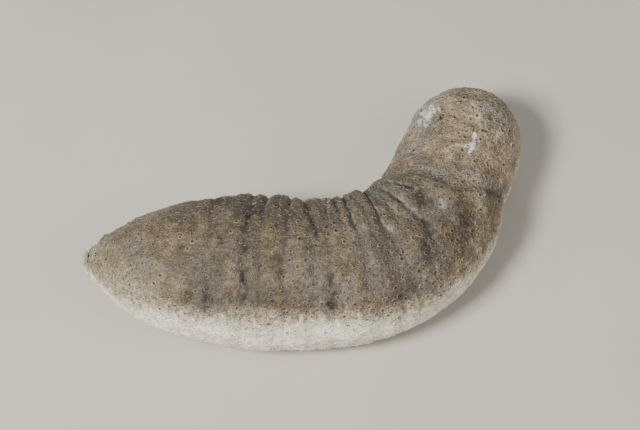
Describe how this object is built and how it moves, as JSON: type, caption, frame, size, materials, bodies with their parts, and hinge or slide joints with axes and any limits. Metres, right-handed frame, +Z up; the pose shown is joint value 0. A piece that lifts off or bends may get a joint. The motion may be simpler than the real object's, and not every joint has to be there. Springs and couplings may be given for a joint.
{
  "type": "sea cucumber",
  "caption": "Life-size sandfish sea cucumber lying on its sole, bent through about a right angle, with folds, tube feet, vent and mouth.",
  "frame": {"origin": "centre of the whole animal's box, at the floor", "axes": "+X is to the right of the picture's view, from the hind end towards the front end's side; +Y away from the viewer; +Z up"},
  "size_m": [0.1835, 0.1226, 0.05],
  "materials": {
    "back": "moist brown-grey skin, mottled, with fine dark pores",
    "sole": "moist off-white skin with fine grey specks",
    "vent": "pale puckered skin",
    "mouth": "grey-brown soft disc and tentacles"
  },
  "bodies": {
    "root": {"back_hind": "back", "sole_hind": "sole", "back_rear": "back", "sole_rear": "sole", "back_middle": "back", "sole_middle": "sole", "back_bend": "back", "sole_bend": "sole", "back_shoulder": "back", "sole_shoulder": "sole", "back_front": "back", "sole_front": "sole", "vent": "vent", "mouth": "mouth"}
  },
  "joints": []
}
